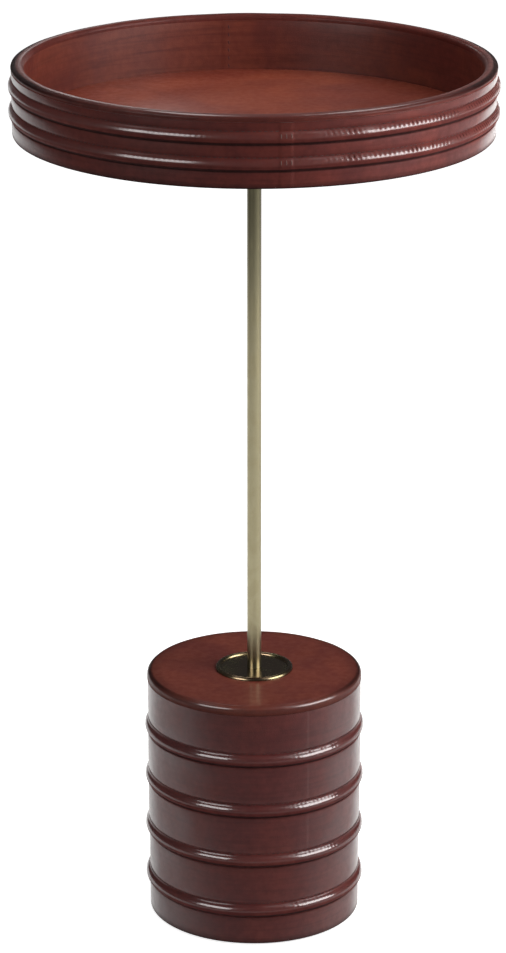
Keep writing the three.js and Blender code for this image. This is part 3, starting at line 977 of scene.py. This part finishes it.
# The rim from its bottom edge up the outside, past the stitched line, over a low dome and down
# a round inner edge
def buildRim():
    tuck = rimSet["tuck"]
    outer = rimRadius - rimSet["inset"]
    rounding = rimSet["round"]
    inside = rimSet["innerRound"]
    half = rimSet["line"]
    line = rimTop - rimSet["lineDrop"]
    dome = rimSet["dome"]
    dark = rimSet["dark"]
    apex = liningInner + inside
    turn = math.asin((rimRadius - rounding - apex) / (dome - rounding))
    lean = 90 - math.degrees(turn)
    cornerHeight = rimTop - (dome - rounding) * (1 - math.cos(turn)) - rounding
    outline = [(liningInner, rimLow), (outer - 2 * tuck, rimLow)]
    outline += arc(outer - tuck, rimLow + tuck, tuck, -90, 0, 3)
    outline += [(outer, line - half), (outer - 0.5 * half, line - 0.3 * half)]
    outline += [(outer - 0.5 * half, line + 0.2 * half)]
    outline += arc(rimRadius - rounding, cornerHeight, rounding, 0, lean, 7)
    outline += arc(apex, rimTop - dome, dome, lean, 90, 7)[1:]
    outline += arc(apex, rimTop - inside, inside, 90, 180, 10)[1:]
    outline += [(liningInner, rimLow)]
    piece = turnedPiece("trayRimBinding", outline, rimSet["steps"])

    # Painted shade along the line round the rim
    def fold(radius, angle, height):
        if radius < outer - 2 * mm:
            return 0
        return 0.5 * bell(height - line, half)

    # Painted highlight with more wax along the top of the dome
    def crown(radius, angle, height):
        return bell(radius - rimRadius + 2.6 * mm, 1.4 * mm) if height > rimTop - 2 * mm else 0

    # Painted shade on the rim's outer edge at the sides and back
    def edging(radius, angle, height):
        edged = min(1, max(0, (radius - rimRadius + 1.3 * dark) / (0.4 * dark)))
        edged *= min(1, max(0, (height - rimTop + dark) / (0.5 * dark)))
        return edged * shadeAwayFromFront(angle)

    painted(piece, "crease", fold)
    painted(piece, "crest", crown)
    painted(piece, "burnish", edging)

    def change(radius, angle, height):
        if height < rimLow + 0.3 * mm:
            return 0, 0
        out = wander(angle, height, rimSet["wander"], 5.0, 31.0)
        up = wander(angle, rimTop, rimSet["wander"], 6.0, 37.0)
        return min(0, out), min(0, up)

    worked(piece, change)
    dress(piece, "edgeLeather", "leather_edge", "tray_rim_binding")


buildLining()
buildTrayFloor()
buildUnderside()
buildRim()
print("tray made")


# Finishes of the nodes that stay as packed
carriedOver = {
    "foot_bottom_board": "fibreboard", "foot_core_tube": "fibreboard", "foot_top_board": "fibreboard",
    "foot_ballast": "castIron", "tray_floor_board": "plywood", "tray_hoop": "plywood",
    "stem_tie_rod": "platedSteel", "tie_rod_washer": "platedSteel", "tie_rod_nut": "platedSteel",
    "tray_mount_plate": "platedSteel",
}
for index in range(1, 5):
    carriedOver[f"foot_rib_cord_{index}"] = "cotton"
    carriedOver[f"mount_screw_{index}"] = "platedSteel"
for index in range(1, 3):
    carriedOver[f"tray_rib_cord_{index}"] = "cotton"

for node, finish in carriedOver.items():
    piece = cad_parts[node]
    piece.data.materials.clear()
    piece.data.materials.append(finishes[finish])
print("carried-over nodes finished")


# Studio: a pale floor, soft panels on both sides and above that show only as reflections, soft
# lamps that light without a reflection, and a dim room. The floor's glow is painted a little darker
# near the table and on its right, and dim far away on the front left, as painted shade for the
# reflections in the leather.
studio = {
    "floorSize": 30.0, "floorColour": tone(235, 235, 233), "world": tone(76, 76, 78), "worldStrength": 1.0,
    "whiteLeft": 0.96, "whiteRight": 0.7, "whiteFar": 1.0, "sideRamp": (-0.3, 0.3), "farRamp": (0.3, 1.6),
    "dimRamp": (-1.6, -0.8), "dimLevel": 0.15, "dimSide": (0.8, 0.6), "aimHeight": 0.5,
}
# Each lamp: azimuth from the front, distance out, height up, its width and height, its power,
# and what sees it
lamps = {
    "leftPanel": (-44, 1.5, 0.9, 0.92, 0.8, 19.5, "glossy"),
    "leftLamp": (-60, 1.0, 1.2, 0.7, 0.5, 2.5, "diffuse"),
    "rightPanel": (70, 1.5, 0.85, 1.2, 0.85, 39.0, "glossy"),
    "rightWall": (68, 1.7, 1.2, 1.6, 1.8, 15.0, "glossy"),
    "rightLamp": (62, 0.9, 0.95, 0.7, 0.4, 6.9, "diffuse"),
    "traySide": (80, 0.6, 0.6, 0.35, 0.2, 2.2, "diffuse"),
    "backLeft": (-170, 1.1, 1.8, 0.2, 0.4, 1.2, "glossy"),
    "backRight": (163, 1.2, 1.8, 0.3, 0.4, 1.7, "glossy"),
    "overTray": (-166, 0.48, 0.74, 0.12, 0.1, 0.13, "glossy"),
    "highLeft": (-100, 0.8, 2.2, 0.7, 0.7, 3.0, "glossy"),
    "highRight": (65, 0.9, 2.1, 1.0, 1.0, 4.5, "glossy"),
    "overhead": (180, 0.4, 1.9, 1.6, 1.6, 11.5, "diffuse"),
}


def seesBackground(tree):
    path = addNode(tree, "ShaderNodeLightPath").outputs
    total = maths(tree, "ADD", path["Is Camera Ray"], path["Is Glossy Ray"])
    return maths(tree, "ADD", total, path["Is Transmission Ray"], clamp=True)


def buildStudio():
    deselectAll()
    bpy.ops.mesh.primitive_plane_add(size=studio["floorSize"])
    floor = bpy.context.object
    floor.name = "studioFloor"
    material = bpy.data.materials.new("paperFloor")
    material.use_nodes = True
    tree = material.node_tree
    principled = tree.nodes["Principled BSDF"]
    principled.inputs["Base Color"].default_value = studio["floorColour"]
    principled.inputs["Roughness"].default_value = 0.9
    principled.inputs["Specular IOR Level"].default_value = 0.0
    principled.inputs["Emission Color"].default_value = (1, 1, 1, 1)
    place = addNode(tree, "ShaderNodeTexCoord").outputs["Object"]
    away = addNode(tree, "ShaderNodeVectorMath", operation="LENGTH")
    plug(tree, place, away.inputs[0])
    parts = addNode(tree, "ShaderNodeSeparateXYZ")
    plug(tree, place, parts.inputs[0])
    near = ranged(tree, parts.outputs["X"], *studio["sideRamp"], studio["whiteLeft"], studio["whiteRight"])
    lack = maths(tree, "SUBTRACT", studio["whiteFar"], near)
    share = ranged(tree, away.outputs["Value"], *studio["farRamp"])
    white = maths(tree, "MULTIPLY_ADD", lack, share, near)
    across = maths(tree, "MULTIPLY", parts.outputs["X"], studio["dimSide"][0])
    across = maths(tree, "MULTIPLY_ADD", parts.outputs["Y"], studio["dimSide"][1], across)
    # Painted dim patch in the floor's glow, far away on the front left
    paintedFloorDim = ranged(tree, across, *studio["dimRamp"], studio["dimLevel"], 1.0)
    glow = maths(tree, "MULTIPLY", seesBackground(tree), maths(tree, "MULTIPLY", white, paintedFloorDim))
    plug(tree, glow, principled.inputs["Emission Strength"])
    output = tree.nodes["Material Output"]
    clear = addNode(tree, "ShaderNodeBsdfTransparent")
    below = addNode(tree, "ShaderNodeNewGeometry").outputs["Backfacing"]
    mixed = addNode(tree, "ShaderNodeMixShader")
    plug(tree, below, mixed.inputs[0])
    plug(tree, principled.outputs[0], mixed.inputs[1])
    plug(tree, clear.outputs[0], mixed.inputs[2])
    plug(tree, mixed.outputs[0], output.inputs["Surface"])
    floor.data.materials.append(material)

    world = bpy.data.worlds.new("dimRoom")
    bpy.context.scene.world = world
    world.use_nodes = True
    background = world.node_tree.nodes["Background"]
    background.inputs["Color"].default_value = studio["world"]
    background.inputs["Strength"].default_value = studio["worldStrength"]


def buildLamp(name, azimuth, out, up, width, height, power, seen):
    turn = math.radians(azimuth)
    place = Vector((out * math.sin(turn), -out * math.cos(turn), up))
    away = place - Vector((0, 0, min(up, studio["aimHeight"])))
    bpy.ops.object.light_add(type="AREA", location=place)
    light = bpy.context.object
    light.name = name
    light.data.shape = "RECTANGLE"
    light.data.size = width
    light.data.size_y = height
    light.data.energy = power
    light.rotation_mode = "QUATERNION"
    light.rotation_quaternion = away.to_track_quat("Z", "Y")
    light.visible_glossy = seen != "diffuse"
    light.visible_diffuse = seen != "glossy"


def buildCamera():
    view = {"lens": 145.25, "place": (-0.8 * mm, -2.364, 1.089), "down": 18.44}
    bpy.ops.object.camera_add(location=view["place"], rotation=(math.radians(90 - view["down"]), 0, 0))
    camera = bpy.context.object
    camera.name = "photoCamera"
    camera.data.lens = view["lens"]
    camera.data.clip_start = 0.05
    camera.data.clip_end = 60
    bpy.context.scene.camera = camera


buildStudio()
for name, lamp in lamps.items():
    buildLamp(name, *lamp)
buildCamera()
bpy.context.scene.view_settings.view_transform = "Standard"
print("studio made")
